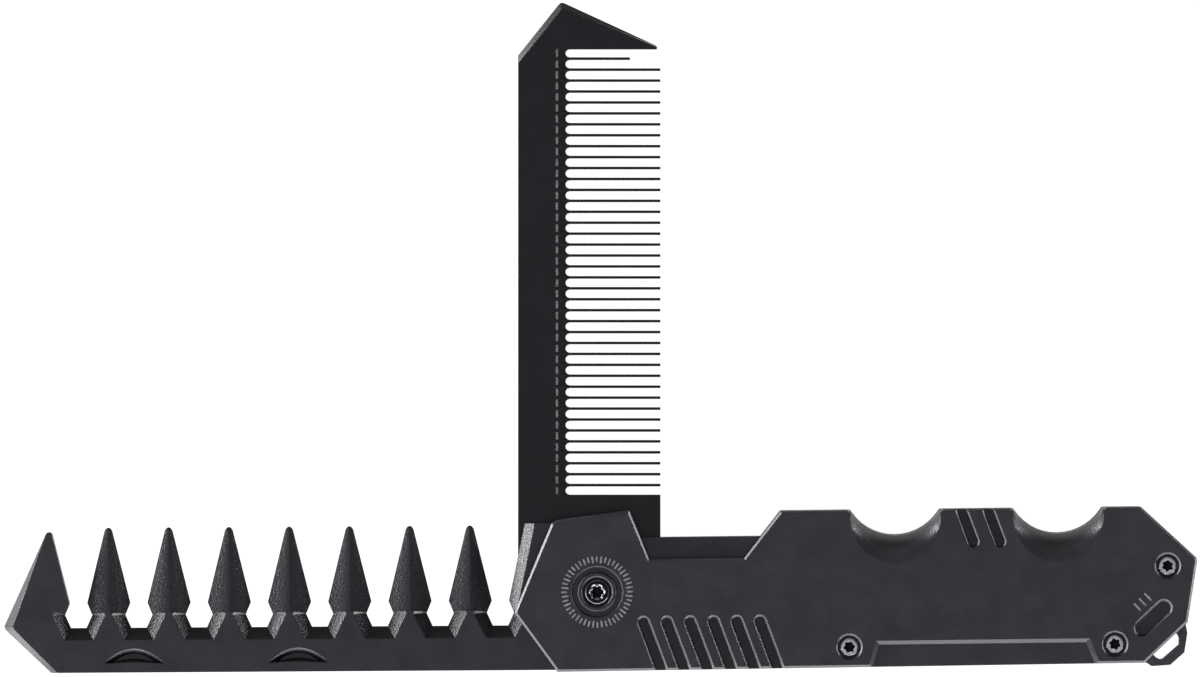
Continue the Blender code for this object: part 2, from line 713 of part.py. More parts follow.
def fine_outline():
    """The fine comb's blank, anticlockwise from the tang, before its gaps are cut."""
    return [
        (-3.0, -12.3), (2.0, FINE_TIP_Y), (FINE_GUARD_X - 0.3, FINE_TIP_Y), (FINE_GUARD_X, -11.06),
        (100.8, -11.15), (101.15, -10.95), (109.0, 6.1), (109.1, 6.7), (108.7, 7.15), (99.3, FINE_SPINE_Y),
        (2.0, FINE_SPINE_Y), (-8.3, 10.5), (-11.5, 4.0), (-11.8, -3.0), (-9.0, -9.5),
    ]


def fine_gap_shape(x_low, x_high, root_y, tip_y, steps=5):
    """The slot between two fine teeth, with a round root."""
    radius = (x_high - x_low) / 2
    centre = ((x_low + x_high) / 2, root_y - radius)
    arc = []
    for i in range(steps + 1):
        turn = math.pi * i / steps
        arc.append((centre[0] + radius * math.cos(turn), centre[1] + radius * math.sin(turn)))
    outline = [(x_low, tip_y), (x_high, tip_y)] + arc
    return loft([(outline, FINE_Z - REACH), (outline, FINE_Z + FINE_THICK + REACH)])


def box_shape(low, high):
    corners = [(low[0], low[1]), (high[0], low[1]), (high[0], high[1]), (low[0], high[1])]
    return loft([(corners, low[2]), (corners, high[2])])


def fine_pocket_shape(x, face_z, inward):
    """The pocket at the root of a gap, with a sloping end wall. inward points into the comb."""
    half, past = (FINE_PITCH - FINE_POCKET_RIB) / 2, 0.3
    spread = FINE_POCKET_SLOPE * past / FINE_POCKET_DEPTH

    def section(end_y):
        low_y = FINE_ROOT_Y - 0.8
        return [(x - half, low_y), (x + half, low_y), (x + half, end_y), (x - half, end_y)]

    return loft([
        (section(FINE_POCKET_Y - FINE_POCKET_SLOPE), face_z + inward * FINE_POCKET_DEPTH),
        (section(FINE_POCKET_Y + spread), face_z - inward * past),
    ])


def make_fine_comb(plastic):
    pivot = comb_pivot("fine_comb_pivot", FINE_OPEN)
    top_z = FINE_Z + FINE_THICK
    bm = bmesh.new()
    top, bottom = plate(bm, fine_outline(), FINE_Z, top_z)

    def on_end(edge):
        middle_point = (edge.verts[0].co + edge.verts[1].co) / 2
        return middle_point.x > 103

    chamfer(bm, [e for face in (top, bottom) for e in face.edges if on_end(e)], FINE_END_CHAMFER)
    comb = new_part("fine_comb", bm, plastic, pivot)

    half_tooth = FINE_TOOTH_THICK / 2
    past_tip = FINE_TIP_Y - REACH
    first_gap = FINE_FIRST_TOOTH_X - FINE_PITCH
    last_tooth = FINE_FIRST_TOOTH_X - FINE_PITCH * (FINE_TEETH - 1)
    gap = fine_gap_shape(first_gap + half_tooth, FINE_FIRST_TOOTH_X - half_tooth, FINE_ROOT_Y, past_tip)
    first_pocket = FINE_FIRST_TOOTH_X + FINE_PITCH * 1.5
    pocket_back = fine_pocket_shape(first_pocket, FINE_Z, 1)
    pocket_front = fine_pocket_shape(first_pocket, top_z, -1)
    repeated = [
        (new_cutter("cut_fine_gaps", gap, pivot), FINE_TEETH - 1),
        (new_cutter("cut_fine_pockets_back", pocket_back, pivot), FINE_TEETH + 2),
        (new_cutter("cut_fine_pockets_front", pocket_front, pivot), FINE_TEETH + 2),
    ]
    for cutter, count in repeated:
        array = cutter.modifiers.new("along the bar", "ARRAY")
        array.count = count
        array.use_relative_offset = False
        array.use_constant_offset = True
        array.constant_offset_displace = (-FINE_PITCH * MM, 0, 0)
        cut(comb, cutter)
    short_x, short_y = FINE_SHORT_TOOTH
    first_low = FINE_FIRST_TOOTH_X + half_tooth
    singles = [
        fine_gap_shape(first_low, short_x - half_tooth, FINE_ROOT_Y, past_tip),
        fine_gap_shape(short_x + half_tooth, FINE_GUARD_X, FINE_ROOT_Y, past_tip),
        box_shape((first_low, past_tip, FINE_Z - REACH), (FINE_GUARD_X, short_y, top_z + REACH)),
        fine_gap_shape(FINE_BASE_X, last_tooth - half_tooth, FINE_ROOT_Y, past_tip),
    ]
    for i, shape in enumerate(singles, 1):
        cut(comb, new_cutter(f"cut_fine_gap_{i}", shape, pivot))
    cut_fine_taper(comb, pivot)
    bore = [(BARREL_R + BARREL_FIT, FINE_Z - REACH), (BARREL_R + BARREL_FIT, top_z + REACH)]
    cut(comb, new_cutter("cut_fine_bore", turned((0, 0), bore, ROUND_SIDES), pivot))


def cut_fine_taper(comb, pivot):
    """The long teeth thin out from the bar to their tips, on both faces."""
    middle, half = FINE_Z + FINE_THICK / 2, FINE_THICK / 2
    slope = (half - FINE_TIP_HALF_HEIGHT) / (FINE_ROOT_Y - 1.0 - FINE_TIP_Y)
    start_y, end_y = FINE_ROOT_Y - 1.0, FINE_TIP_Y - REACH
    tip_height = half - slope * (start_y - end_y)
    for name, sign in (("back", -1), ("front", 1)):
        bm = bmesh.new()
        section = [(start_y, half), (end_y, tip_height), (end_y, half + REACH), (start_y, half + REACH)]
        face = bm.faces.new([bm.verts.new((FINE_BASE_X, y, middle + sign * height)) for y, height in section])
        grown = bmesh.ops.extrude_face_region(bm, geom=[face], use_keep_orig=True)["geom"]
        moved = [item for item in grown if isinstance(item, bmesh.types.BMVert)]
        bmesh.ops.translate(bm, verts=moved, vec=(FINE_GUARD_X - FINE_BASE_X, 0, 0))
        cut(comb, new_cutter(f"cut_fine_taper_{name}", bm, pivot))


clear_scene()
PARTS = new_collection("folding_comb")
CUTTERS = new_collection("cutters")

handle_plastic = new_material("moulded_handle_plastic", "#333438", 0.45, 0.0)
liner_plastic = new_material("moulded_liner_plastic", "#2c2d31", 0.5, 0.0)
wide_plastic = new_material("textured_comb_plastic", "#303135", 0.5, 0.0)
fine_plastic = new_material("smooth_comb_plastic", "#212226", 0.4, 0.0)
screw_steel = new_material("blackened_screw_steel", "#1d1d1f", 0.35, 0.9)

make_handle(handle_plastic, liner_plastic)
make_spacer(liner_plastic)
make_screws(screw_steel)
make_pivot(screw_steel)
make_wide_comb(wide_plastic)
make_fine_comb(fine_plastic)
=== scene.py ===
"""The looks of the folding comb: moulded black nylon, steel screws and a white light table."""

import math

import bmesh
import bpy
from mathutils import Euler, Matrix, Vector


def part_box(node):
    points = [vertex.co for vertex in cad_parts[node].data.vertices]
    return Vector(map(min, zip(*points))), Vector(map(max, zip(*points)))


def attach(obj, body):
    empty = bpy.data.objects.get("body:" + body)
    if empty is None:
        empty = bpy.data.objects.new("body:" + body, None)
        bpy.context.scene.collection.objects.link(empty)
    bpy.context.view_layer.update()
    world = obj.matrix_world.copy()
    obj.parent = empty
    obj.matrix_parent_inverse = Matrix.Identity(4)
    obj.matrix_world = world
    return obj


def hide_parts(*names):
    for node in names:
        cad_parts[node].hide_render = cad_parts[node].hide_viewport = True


bl_info = {
    "name": "Folding Comb",
    "version": (1, 0, 0),
    "blender": (4, 5, 0),
    "location": "View3D > Sidebar > Folding Comb",
    "description": "Dresses the folding comb's solids in moulded nylon and steel, and sets its light table",
    "category": "Object",
}

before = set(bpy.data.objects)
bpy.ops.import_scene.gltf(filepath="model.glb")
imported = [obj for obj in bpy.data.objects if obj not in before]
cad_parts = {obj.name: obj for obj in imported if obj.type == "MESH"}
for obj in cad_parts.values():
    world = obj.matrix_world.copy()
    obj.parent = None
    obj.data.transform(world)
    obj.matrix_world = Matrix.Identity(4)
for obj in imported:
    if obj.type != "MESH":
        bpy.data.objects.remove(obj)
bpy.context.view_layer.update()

MM = 0.001

# The photograph's frame: one scale for the whole picture, and the pixel of the pivot's axis
PHOTO_SIZE = (1200, 677)
PHOTO_SCALE = 0.185 * MM
PIVOT_PIXEL = (597.1, 591.7)
PHOTO_TURN = math.radians(0.65)
PHOTO_PLANE_Z = 11.0 * MM
SENSOR_WIDTH = 36.0

# Sizes of the grain in the plastics, in millimetres
DRAG_LENGTH, DRAG_WIDTH = 5.0, 0.3
SPARK_GRAIN = 0.42
CLOUD_SIZE = 5.0

# Edges sharper than these are rounded on the CAD shapes, and shaded hard on the pieces made here
SHARP_ANGLE = math.radians(22)
HARD_ANGLE = math.radians(32)

# The upright part of a face's normal: above which it is level, above which it still counts as
# flat, and between which it leans
LEVEL, FLAT = 0.9999, 0.99
LEANING = (0.05, 0.985)

# The finger scallops, in millimetres: their places along the handle, how far they reach to each
# side and the Y that they stay above, then the radius and the middle's Y at the face and at the
# slot, the depths of the cuts as shares of the ramp, and the handle's long edge with its chamfer,
# where they end
SCALLOP_XS = (55.3, 85.4)
SCALLOP_REACH, SCALLOP_LOW_Y = 9.5, 3.0
SCALLOP_FACE, SCALLOP_SLOT = Vector((8.3, 12.9)), Vector((9.64, 19.6))
SCALLOP_SLICES = (0.03, 0.08, 0.15, 0.26, 0.42, 0.6, 0.8, 0.93)
LONG_EDGE_Y, EDGE_CHAMFER = 14.6, 0.45

# Depths below a cover's face, in millimetres, between which a flat face is a recess's floor, painted darker
# as painted shade
RECESS_DEPTHS = (0.7, 2.0)

# The wide comb lies open at this angle, which turns its own axes to the handle's. On its own axes,
# in millimetres, each arrow tooth is a wedge whose sides would meet at a point past its round tip.
# Its facets rise from a flat land to the comb's faces over half the tooth's width at its foot.
WIDE_OPEN = math.radians(179.7)
WIDE_END_X = 102.0
TOOTH_FIRST_X, TOOTH_PITCH, ARROW_TEETH = 90.413, 11.154, 7
TOOTH_POINT_Y, TOOTH_SPREAD = -14.67, 0.2466
TOOTH_FOOT_Y = 3.75
FACET_END_Y = TOOTH_FOOT_Y - 0.3
TOOTH_REACH = 4.7
TOOTH_LAND, TOOTH_HALF_WIDTH = 0.15, 4.556
TOOTH_SLICES = (0.06, 0.14, 0.26, 0.42, 0.64)
TOOTH_CROWN = 1.5

SOCKET_LOBES, LOBE_DEPTH = 6, 0.14

# The stage, in metres: half the table's width, how far it lies below the comb's back so that their
# planes don't meet, what the lights aim at, and how far from there they stand
TABLE_REACH, TABLE_DROP = 3.0, 0.05 * MM
AIM = (0.0, 0.03, 0.0)
STRIP_DISTANCE, PANEL_DISTANCE = 1.4, 2.0


def linear(hex_colour):
    """An sRGB hex colour as linear red, green and blue."""
    channels = (int(hex_colour[i:i + 2], 16) / 255 for i in (1, 3, 5))
    return tuple(c / 12.92 if c <= 0.04045 else ((c + 0.055) / 1.055) ** 2.4 for c in channels)


class FoldingCombSizes(bpy.types.PropertyGroup):
    edge_radius: bpy.props.FloatProperty(
        name="Edge rounding", description="Rounding of the moulded outer edges",
        default=0.1 * MM, min=0.01 * MM, max=0.3 * MM, unit="LENGTH")
    scallop_roll: bpy.props.FloatProperty(
        name="Scallop roll",
        description="0 for straight ramps in the finger scallops, 1 for fully rounded ones",
        default=0.9, min=0.0, max=1.0)
    tick_inner: bpy.props.FloatProperty(
        name="Tick ring inside", description="Inner radius of the ring of tick marks round the pivot",
        default=5.3 * MM, min=5.0 * MM, max=6.0 * MM, unit="LENGTH")
    tick_outer: bpy.props.FloatProperty(
        name="Tick ring outside", description="Outer radius of the ring of tick marks round the pivot",
        default=6.65 * MM, min=6.0 * MM, max=7.2 * MM, unit="LENGTH")
    tick_count: bpy.props.IntProperty(
        name="Ticks", description="Tick marks in the ring round the pivot", default=48, min=12, max=72)
    camera_height: bpy.props.FloatProperty(
        name="Camera height", description="Distance from the camera to the comb's middle",
        default=3.0, min=0.5, max=4.0, unit="LENGTH")


class FoldingCombColours(bpy.types.PropertyGroup):
    handle: bpy.props.FloatVectorProperty(
        name="Handle", description="Moulded plastic of the two covers", subtype="COLOR",
        size=3, min=0.0, max=1.0, default=linear("#1c1d22"))
    liner: bpy.props.FloatVectorProperty(
        name="Liners", description="Moulded plastic of the liners and the spacer", subtype="COLOR",
        size=3, min=0.0, max=1.0, default=linear("#292a2f"))
    wide: bpy.props.FloatVectorProperty(
        name="Wide comb", description="Moulded plastic of the wide comb", subtype="COLOR",
        size=3, min=0.0, max=1.0, default=linear("#19191f"))
    fine: bpy.props.FloatVectorProperty(
        name="Fine comb", description="Moulded plastic of the fine comb", subtype="COLOR",
        size=3, min=0.0, max=1.0, default=linear("#08080b"))
    steel: bpy.props.FloatVectorProperty(
        name="Cover screws", description="Bare steel of the small screws", subtype="COLOR",
        size=3, min=0.0, max=1.0, default=linear("#c4c5ca"))
    dark_steel: bpy.props.FloatVectorProperty(
        name="Pivot", description="Blackened steel of the pivot", subtype="COLOR",
        size=3, min=0.0, max=1.0, default=linear("#77787d"))
    marks: bpy.props.FloatVectorProperty(
        name="Marks", description="Grey paint of the tick marks", subtype="COLOR",
        size=3, min=0.0, max=1.0, default=linear("#7b7c81"))
    table: bpy.props.FloatVectorProperty(
        name="Table", description="White acrylic of the light table", subtype="COLOR",
        size=3, min=0.0, max=1.0, default=linear("#7c7c7c"))
    table_glow: bpy.props.FloatProperty(
        name="Table glow", description="Light that comes up through the light table",
        default=0.96, min=0.0, max=2.0)


def add_node(tree, kind, sockets=None, **settings):
    """Adds one node. A socket takes a value, another socket, or a node, for its first output in use."""
    node = tree.nodes.new(kind)
    for name, value in settings.items():
        setattr(node, name, value)
    inputs = {socket.identifier: socket for socket in node.inputs}
    for key, value in (sockets or {}).items():
        if isinstance(value, bpy.types.Node):
            value = next(socket for socket in value.outputs if socket.enabled)
        if isinstance(value, bpy.types.NodeSocket):
            tree.links.new(value, inputs[key])
        else:
            inputs[key].default_value = value
    return node


def new_material(name, colour, roughness, metallic=0.0, specular=0.5):
    """A material with its shader's own sockets set, and its tree and shader."""
    material = bpy.data.materials.new(name)
    material.use_nodes = True
    shader = material.node_tree.nodes["Principled BSDF"]
    shader.inputs["Base Color"].default_value = (*colour, 1.0)
    shader.inputs["Roughness"].default_value = roughness
    shader.inputs["Metallic"].default_value = metallic
    shader.inputs["Specular IOR Level"].default_value = specular
    return material, material.node_tree, shader


def shade(tree, shader, colour, tone):
    """Links the colour, made lighter and darker by the tone, to the shader."""
    shaded = add_node(tree, "ShaderNodeMix", {"Factor_Float": 1.0, "A_Color": colour, "B_Color": tone},
                      data_type="RGBA", blend_type="MULTIPLY")
    tree.links.new(next(socket for socket in shaded.outputs if socket.enabled), shader.inputs["Base Color"])


def object_place(tree):
    return add_node(tree, "ShaderNodeTexCoord").outputs["Object"]


def face_mark(tree, mark):
    """The amount that mark_faces gave each face, or 0 on a piece without this mark."""
    return add_node(tree, "ShaderNodeAttribute", attribute_name=mark).outputs["Fac"]


def noise(tree, place, size, detail, roughness):
    """Noise with grains of this size, whose values lie round 0.5."""
    return add_node(tree, "ShaderNodeTexNoise", {
        "Vector": place, "Scale": 1 / size, "Detail": detail, "Roughness": roughness})


def spread(tree, value, low, high, usual=(0.3, 0.7)):
    """Spreads the usual values of a noise from low to high."""
    return add_node(tree, "ShaderNodeMapRange", {
        "Value": value, "From Min": usual[0], "From Max": usual[1], "To Min": low, "To Max": high})


def moulded_nylon(name, colour, roughness, along="X", specular=0.5, sand_depth=0.12 * MM):
    """Black glass-filled nylon out of a steel mould.

    Its flat faces are satin, with the faint lines that the glass drags along the piece. Faces
    marked spark come from a spark-eroded part of the mould, which leaves them sandy. Faces marked
    deep, the floors of recesses and of the gaps between teeth, are painted darker as painted shade.
    """
    material, tree, shader = new_material(name, colour, roughness, specular=specular)
    place, sparked, deep = object_place(tree), face_mark(tree, "spark"), face_mark(tree, "deep")
    long, short = 1 / (DRAG_LENGTH * MM), 1 / (DRAG_WIDTH * MM)
    stretched = add_node(tree, "ShaderNodeMapping", {
        "Vector": place, "Scale": (long, short, short) if along == "X" else (short, long, short)})
    drag = noise(tree, stretched, 1.0, 3.0, 0.6)
    sand = noise(tree, place, SPARK_GRAIN * MM, 2.0, 0.65)
    clouds = noise(tree, place, CLOUD_SIZE * MM, 3.0, 0.55)

    cloud_tone = spread(tree, clouds, 0.65, 1.35)
    drag_tone = spread(tree, drag, 0.88, 1.12)
    satin_tone = add_node(tree, "ShaderNodeMath", {"Value": cloud_tone, "Value_001": drag_tone},
                          operation="MULTIPLY")
    sandy_tone = spread(tree, sand, 0.5, 1.5, (0.35, 0.7))
    tone = add_node(tree, "ShaderNodeMix", {
        "Factor_Float": sparked, "A_Float": satin_tone, "B_Float": sandy_tone})
    # Painted shade: faces marked deep are darkened to 0.15 of their tone
    painted_shade_tone = add_node(tree, "ShaderNodeMix", {"Factor_Float": deep, "A_Float": tone, "B_Float": 0.15})
    shade(tree, shader, (*colour, 1.0), painted_shade_tone)

    gloss = spread(tree, drag, roughness - 0.03, roughness + 0.03)
    dull = spread(tree, sand, roughness + 0.08, roughness - 0.04)
    finish = add_node(tree, "ShaderNodeMix", {"Factor_Float": sparked, "A_Float": gloss, "B_Float": dull})
    tree.links.new(finish.outputs["Result"], shader.inputs["Roughness"])

    if sand_depth:
        depth = add_node(tree, "ShaderNodeMath", {"Value": sparked, "Value_001": sand}, operation="MULTIPLY")
        bump = add_node(tree, "ShaderNodeBump", {"Height": depth, "Strength": 1.0, "Distance": sand_depth})
        tree.links.new(bump.outputs["Normal"], shader.inputs["Normal"])
    return material


def screw_steel(name, colour, socket_shade_colour):
    """Screw steel, satin and slightly mottled, with painted shade: faces marked socket take a dark shade
    colour.
    """
    material, tree, shader = new_material(name, colour, 0.32, 1.0)
    place, shaded_socket = object_place(tree), face_mark(tree, "socket")
    # Painted shade: faces marked socket take the dark shade colour
    steel_with_socket_shade = add_node(tree, "ShaderNodeMix", {
        "Factor_Float": shaded_socket, "A_Color": (*colour, 1.0), "B_Color": (*socket_shade_colour, 1.0)},
        data_type="RGBA")
    mottle = noise(tree, place, 0.5 * MM, 3.0, 0.6)
    shade(tree, shader, steel_with_socket_shade, spread(tree, mottle, 0.75, 1.2))
    finish = spread(tree, mottle, 0.26, 0.4)
    tree.links.new(finish.outputs["Result"], shader.inputs["Roughness"])
    return material


def pad_paint(colour):
    """Grey pad-printing ink, matt, and thin enough that its tone varies."""
    material, tree, shader = new_material("grey_pad_print", colour, 0.6)
    thin = noise(tree, object_place(tree), 0.6 * MM, 2.0, 0.6)
    shade(tree, shader, (*colour, 1.0), spread(tree, thin, 0.6, 1.15, (0.35, 0.65)))
    return material


def opal_acrylic(colour, glow):
    """Opal acrylic of a light table: a white satin sheet that glows evenly from below."""
    material, tree, shader = new_material("opal_acrylic", colour, 0.6)
    shader.inputs["Emission Color"].default_value = (1.0, 1.0, 1.0, 1.0)
    shader.inputs["Emission Strength"].default_value = glow
    fine_matt = noise(tree, object_place(tree), 1.5 * MM, 2.0, 0.5)
    bump = add_node(tree, "ShaderNodeBump", {"Height": fine_matt, "Strength": 0.1, "Distance": 0.02 * MM})
    tree.links.new(bump.outputs["Normal"], shader.inputs["Normal"])
    return material


def merged_copy(node):
    """A CAD node's shape with its loose triangles merged and its flat faces joined."""
    bm = bmesh.new()
    bm.from_mesh(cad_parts[node].data)
    for layer in list(bm.loops.layers.uv):
        bm.loops.layers.uv.remove(layer)
    bmesh.ops.remove_doubles(bm, verts=bm.verts, dist=0.001 * MM)
    bmesh.ops.dissolve_limit(bm, angle_limit=math.radians(0.4), verts=bm.verts, edges=bm.edges)
    return bm


def new_piece(name, bm, material, body):
    """The finished bmesh as a piece that rides on a body."""
    mesh = bpy.data.meshes.new(name)
    bm.to_mesh(mesh)
    bm.free()
    if "custom_normal" in mesh.attributes:
        mesh.attributes.remove(mesh.attributes["custom_normal"])
    mesh.materials.append(material)
    for polygon in mesh.polygons:
        polygon.material_index = 0
        polygon.use_smooth = True
    piece = bpy.data.objects.new(name, mesh)
    bpy.context.scene.collection.objects.link(piece)
    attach(piece, body)
    return piece


def mark_faces(bm, mark, amount):
    """Gives each face an amount from 0 to 1, in an attribute that its material reads."""
    layer = bm.faces.layers.float.new(mark)
    for face in bm.faces:
        face[layer] = float(amount(face))


def weigh_edges(bm, stays_sharp=None):
    """Gives each sharp outer edge a bevel weight.

    Inner corners, what stays sharp and the borders of level faces get none, and are shaded hard.
    """
    weight = bm.edges.layers.float.new("bevel_weight_edge")
    for edge in bm.edges:
        edge.smooth = len({abs(face.normal.z) > LEVEL for face in edge.link_faces}) < 2
        if edge.calc_face_angle(0.0) > SHARP_ANGLE:
            if edge.is_convex and not (stays_sharp and stays_sharp(edge)):
                edge[weight] = 1.0
            else:
                edge.smooth = False


def round_edges(piece, width):
    """Rounds the edges that weigh_edges chose."""
    bevel = piece.modifiers.new("rounded edges", "BEVEL")
    bevel.limit_method = "WEIGHT"
    bevel.width = width
    bevel.segments = 2
    bevel.use_clamp_overlap = False
    bevel.harden_normals = True


def dress(node, name, material, body, width, marks, shape=None):
    """Makes a CAD node's shape a piece with rounded edges. shape is called on its mesh first."""
    bm = merged_copy(node)
    if shape:
        shape(bm)
    for mark, amount in marks.items():
        mark_faces(bm, mark, amount)
    weigh_edges(bm)
    piece = new_piece(name, bm, material, body)
    round_edges(piece, width)
    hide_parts(node)


def leans(face):
    """A face between flat and upright, such as a ramp or a facet."""
    return LEANING[0] < abs(face.normal.z) < LEANING[1]


def slice_faces(bm, faces, planes, dist):
    """Cuts the faces along planes, each a place and a normal, and gives the vertices of them all."""
    geom = list({item for face in faces for item in (*face.verts, *face.edges)}) + faces
    for place, normal in planes:
        geom = bmesh.ops.bisect_plane(bm, geom=geom, dist=dist, plane_co=place, plane_no=normal)["geom"]
    return {item for item in geom if isinstance(item, bmesh.types.BMVert)}


def near_scallop(face):
    """A face in or near a finger scallop, on the open side of the handle."""
    middle = face.calc_center_median() / MM
    return middle.y > SCALLOP_LOW_Y and any(abs(middle.x - x) < SCALLOP_REACH for x in SCALLOP_XS)


def scallop_sand(face):
    """A scallop is sandy where it is steep, and fades into the satin face."""
    flat = abs(face.normal.z)
    return min(0.55, (1.0 - flat) * 4) if near_scallop(face) and flat > LEANING[0] else 0.0


def roll_scallops(bm, face_z, slot_z, roll):
    """Makes the straight ramps of the finger scallops roll out of the face and down to the slot.

    Level cuts slice each ramp. They then move outwards, until the ramp's profile has gone from a
    straight line to a quarter of an ellipse by the share in roll. Each cut still ends in the long edge.
    """
    ramps = [face for face in bm.faces if leans(face) and near_scallop(face)]
    up = Vector((0, 0, 1))
    levels = [(up * (face_z + (slot_z - face_z) * share), up) for share in SCALLOP_SLICES]
    for vert in slice_faces(bm, ramps, levels, 0.0001 * MM):
        place = vert.co / MM
        middle_x = min(SCALLOP_XS, key=lambda x: abs(place.x - x))
        share = min(max((face_z - vert.co.z) / (face_z - slot_z), 0.0), 1.0)
        rolled = share + (math.sqrt(1 - (1 - share) ** 2) - share) * roll
        limit_y = LONG_EDGE_Y - max(0.0, EDGE_CHAMFER - abs(face_z - vert.co.z) / MM)
        old, new = (SCALLOP_FACE.lerp(SCALLOP_SLOT, part) for part in (share, rolled))
        old_end, new_end = (math.acos((arc.y - limit_y) / arc.x) for arc in (old, new))
        turn = math.atan2(place.x - middle_x, old.y - place.y) * new_end / old_end
        x, y = middle_x + new.x * math.sin(turn), new.y - new.x * math.cos(turn)
        vert.co = Vector((x, y, place.z)) * MM
    bm.normal_update()


def scallop_levels(node, name):
    """The front and the back piece of a pair: node, piece name, and the heights of face and slot."""
    for side, cover, liner in (("front", 1, 0), ("back", 0, 1)):
        face_z, slot_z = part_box(f"{side}_scale")[cover].z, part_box(f"{side}_liner")[liner].z
        yield f"{side}_{node}", f"{side}_{name}", face_z, slot_z


class COMB_OT_covers(bpy.types.Operator):
    """Dress the handle's two covers"""
    bl_idname = "folding_comb.covers"
    bl_label = "Covers"

    def execute(self, context):
        sizes, colours = context.scene.folding_comb_sizes, context.scene.folding_comb_colours
        nylon = moulded_nylon("handle_glass_nylon", colours.handle, 0.38)
        for node, name, face_z, slot_z in scallop_levels("scale", "cover"):
            def in_recess(face):
                depth = abs(face_z - face.calc_center_median().z) / MM
                return abs(face.normal.z) > FLAT and RECESS_DEPTHS[0] < depth < RECESS_DEPTHS[1]

            # Recess floors are marked deep, and are painted darker as painted shade
            dress(node, name, nylon, "handle", sizes.edge_radius,
                  {"spark": scallop_sand, "deep": in_recess},
                  lambda bm: roll_scallops(bm, face_z, slot_z, sizes.scallop_roll))
        return {"FINISHED"}


class COMB_OT_liners(bpy.types.Operator):
    """Dress the two liners and the spacer with its lanyard loop"""
    bl_idname = "folding_comb.liners"
    bl_label = "Liners and spacer"

    def execute(self, context):
        sizes, colours = context.scene.folding_comb_sizes, context.scene.folding_comb_colours
        nylon = moulded_nylon("liner_glass_nylon", colours.liner, 0.38)
        for node, name, face_z, slot_z in scallop_levels("liner", "liner_plate"):
            dress(node, name, nylon, "handle", sizes.edge_radius, {"spark": scallop_sand},
                  lambda bm: roll_scallops(bm, face_z, slot_z, sizes.scallop_roll))
        dress("spine_spacer", "spacer_strip", nylon, "handle", sizes.edge_radius,
              {"spark": leans})
        return {"FINISHED"}


def crown_teeth(bm, middle_z, half):
    """Turns the flat sides of each arrow tooth into crowned ones, on the comb's own axes.

    The comb's faces lie half above and half below middle_z. Upright planes through the point where
    a tooth's sides would meet slice its facets, and the cuts are then lifted from the planar facet
    to a crown that is level along the ridge.
    """
    land = TOOTH_LAND * MM
    slope = (half - land) / (TOOTH_HALF_WIDTH * MM)
    for i in range(ARROW_TEETH):
        middle_x = TOOTH_FIRST_X - TOOTH_PITCH * i

        def on_tooth(face):
            place = face.calc_center_median() / MM
            return leans(face) and place.y < FACET_END_Y and abs(place.x - middle_x) < TOOTH_REACH

        faces = [face for face in bm.faces if on_tooth(face)]
        point = Vector((middle_x, TOOTH_POINT_Y, 0)) * MM
        planes = [(point, Vector((1, -side * share * TOOTH_SPREAD, 0)).normalized())
                  for share in TOOTH_SLICES for side in (-1, 1)]
        for vert in slice_faces(bm, faces, planes, 0.001 * MM):
            width = (vert.co.y - TOOTH_POINT_Y * MM) * TOOTH_SPREAD
            ridge = width * slope
            height = abs(vert.co.z - middle_z) - land
            share = min(max(height / ridge, 0.0), 1.0)
            lift = ridge * (1 - (1 - share) ** TOOTH_CROWN - share)
            vert.co.z += math.copysign(lift, vert.co.z - middle_z)


class COMB_OT_wide_comb(bpy.types.Operator):
    """Dress the wide comb, with sandy facets and crowned teeth"""
    bl_idname = "folding_comb.wide_comb"
    bl_label = "Wide comb"

    def execute(self, context):
        sizes, colours = context.scene.folding_comb_sizes, context.scene.folding_comb_colours
        nylon = moulded_nylon("wide_comb_glass_nylon", colours.wide, 0.38)
        bm = merged_copy("wide_comb")
        bmesh.ops.rotate(bm, verts=bm.verts, cent=(0, 0, 0), matrix=Matrix.Rotation(-WIDE_OPEN, 3, "Z"))
        low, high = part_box("wide_comb")
        middle_z, half = (low.z + high.z) / 2, (high.z - low.z) / 2
        crown_teeth(bm, middle_z, half)

        def before_end(face):
            return leans(face) and face.calc_center_median().x / MM < WIDE_END_X

        def is_facet(face):
            return before_end(face) and abs(face.normal.x) > abs(face.normal.y)

        def in_gap(face):
            return before_end(face) and face.normal.y < -abs(face.normal.x)

        def on_arrow(edge):
            place = (edge.verts[0].co + edge.verts[1].co) / 2 / MM
            teeth = (TOOTH_FIRST_X - TOOTH_PITCH * i for i in range(ARROW_TEETH))
            return place.y < TOOTH_FOOT_Y and any(abs(place.x - x) < TOOTH_REACH for x in teeth)

        mark_faces(bm, "spark", is_facet)
        # The floors of the gaps between the teeth are marked deep, and are painted darker as painted shade
        mark_faces(bm, "deep", in_gap)
        weigh_edges(bm, on_arrow)
        bmesh.ops.rotate(bm, verts=bm.verts, cent=(0, 0, 0), matrix=Matrix.Rotation(WIDE_OPEN, 3, "Z"))
        comb = new_piece("wide_tooth_comb", bm, nylon, "wide_blade")
        round_edges(comb, sizes.edge_radius)
        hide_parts("wide_comb")
        return {"FINISHED"}


class COMB_OT_fine_comb(bpy.types.Operator):
    """Dress the fine comb"""
    bl_idname = "folding_comb.fine_comb"
    bl_label = "Fine comb"

    def execute(self, context):
        sizes, colours = context.scene.folding_comb_sizes, context.scene.folding_comb_colours
        nylon = moulded_nylon("fine_comb_glass_nylon", colours.fine, 0.26, "Y", 0.3, 0.0)
        dress("fine_comb", "fine_tooth_comb", nylon, "fine_blade",
              sizes.edge_radius * 0.8, {})
        return {"FINISHED"}


